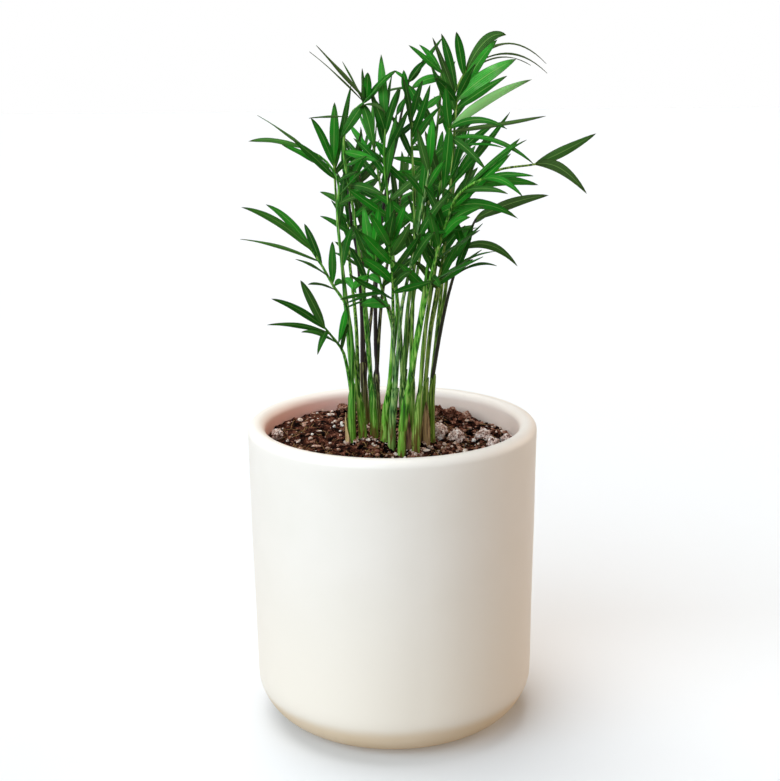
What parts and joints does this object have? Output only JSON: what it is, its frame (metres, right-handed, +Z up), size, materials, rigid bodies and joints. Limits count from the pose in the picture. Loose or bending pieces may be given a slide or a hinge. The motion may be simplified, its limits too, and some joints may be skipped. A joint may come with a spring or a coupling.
{
  "type": "potted parlor palm",
  "caption": "Young parlor palms with slim arching leaflets standing in dark soil in a plain white round ceramic pot.",
  "frame": {"origin": "centre of the pot's flat foot, on the surface it stands on", "axes": "+Z up along the pot's axis, -Y towards the front of the plant, +X to its right"},
  "size_m": [0.1965, 0.1859, 0.3912],
  "materials": {
    "white_glaze": "satin",
    "potting_soil": "matte",
    "pumice": "matte",
    "palm_leaf": "satin",
    "dry_sheath": "matte"
  },
  "bodies": {
    "root": {"pot": "white_glaze", "soil": "potting_soil", "pumice_01": "pumice", "pumice_02": "pumice", "pumice_03": "pumice", "pumice_04": "pumice", "pumice_05": "pumice", "pumice_06": "pumice", "palm_01": "palm_leaf", "palm_02": "palm_leaf", "palm_03": "palm_leaf", "palm_04": "palm_leaf", "palm_05": "palm_leaf", "palm_06": "palm_leaf", "palm_07": "palm_leaf", "palm_08": "palm_leaf", "palm_09": "palm_leaf", "palm_10": "palm_leaf", "palm_11": "palm_leaf", "palm_12": "palm_leaf", "palm_13": "palm_leaf", "dry_sheath_01": "dry_sheath", "dry_sheath_08": "dry_sheath", "dry_sheath_10": "dry_sheath"}
  },
  "joints": []
}
